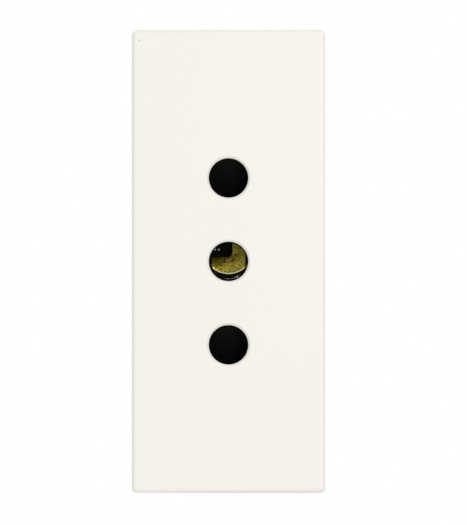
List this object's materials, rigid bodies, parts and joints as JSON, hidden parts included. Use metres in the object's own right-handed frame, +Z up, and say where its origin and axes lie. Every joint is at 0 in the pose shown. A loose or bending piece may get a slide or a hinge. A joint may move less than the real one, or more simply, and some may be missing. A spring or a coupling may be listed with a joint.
{
  "type": "three-pin socket insert",
  "caption": "Flat white wall socket insert with round pin holes in a row, a sprung shutter behind them, screw terminals at the rear and snaps for a support frame.",
  "frame": {"origin": "on the axis of the earth pin, in the plane where the cover's rear rim sits on the support frame", "axes": "+Z up along the row of holes, +Y into the wall, +X to the right seen from the front"},
  "size_m": [0.022, 0.0322, 0.0528],
  "materials": {
    "white_plastic": "satin moulded",
    "black_plastic": "fine moulded",
    "rear_plastic": "fine moulded",
    "spring_steel": "drawn wire",
    "brass": "rolled sheet",
    "plated_steel": "zinc plated"
  },
  "bodies": {
    "housing": {"front_cover": "white_plastic", "socket_body": "black_plastic", "contact_carrier": "black_plastic", "rear_cover": "rear_plastic", "line_contact": "brass", "earth_contact": "brass", "neutral_contact": "brass", "shutter_spring": "spring_steel"},
    "shutter": {"shutter": "black_plastic"},
    "line_clamp": {"line_clamp_plate": "plated_steel"},
    "line_screw": {"line_terminal_screw": "plated_steel"},
    "earth_clamp": {"earth_clamp_plate": "plated_steel"},
    "earth_screw": {"earth_terminal_screw": "plated_steel"},
    "neutral_clamp": {"neutral_clamp_plate": "plated_steel"},
    "neutral_screw": {"neutral_terminal_screw": "plated_steel"}
  },
  "joints": [
    {"name": "shutter_slide", "type": "slide", "parent": "housing", "child": "shutter", "axis": [0, 0, 1], "range_m": [0, 0.0047], "stiffness_N_per_m": 150, "springref_m": -0.004, "deforming": ["shutter_spring"]},
    {"name": "line_clamp_slide", "type": "slide", "parent": "housing", "child": "line_clamp", "axis": [0, -1, 0], "range_m": [0, 0.002]},
    {"name": "line_screw_turn", "type": "hinge", "parent": "line_clamp", "child": "line_screw", "pos_m": [0, 0.0195, 0.0095], "axis": [0, -1, 0], "range_deg": [0, 1200]},
    {"name": "earth_clamp_slide", "type": "slide", "parent": "housing", "child": "earth_clamp", "axis": [0, -1, 0], "range_m": [0, 0.002]},
    {"name": "earth_screw_turn", "type": "hinge", "parent": "earth_clamp", "child": "earth_screw", "pos_m": [0, 0.0195, 0], "axis": [0, -1, 0], "range_deg": [0, 1200]},
    {"name": "neutral_clamp_slide", "type": "slide", "parent": "housing", "child": "neutral_clamp", "axis": [0, -1, 0], "range_m": [0, 0.002]},
    {"name": "neutral_screw_turn", "type": "hinge", "parent": "neutral_clamp", "child": "neutral_screw", "pos_m": [0, 0.0195, -0.0095], "axis": [0, -1, 0], "range_deg": [0, 1200]}
  ],
  "couplings": [
    {"joint": "line_screw_turn", "follows": "line_clamp_slide", "rad_per_m": 10472},
    {"joint": "earth_screw_turn", "follows": "earth_clamp_slide", "rad_per_m": 10472},
    {"joint": "neutral_screw_turn", "follows": "neutral_clamp_slide", "rad_per_m": 10472}
  ]
}
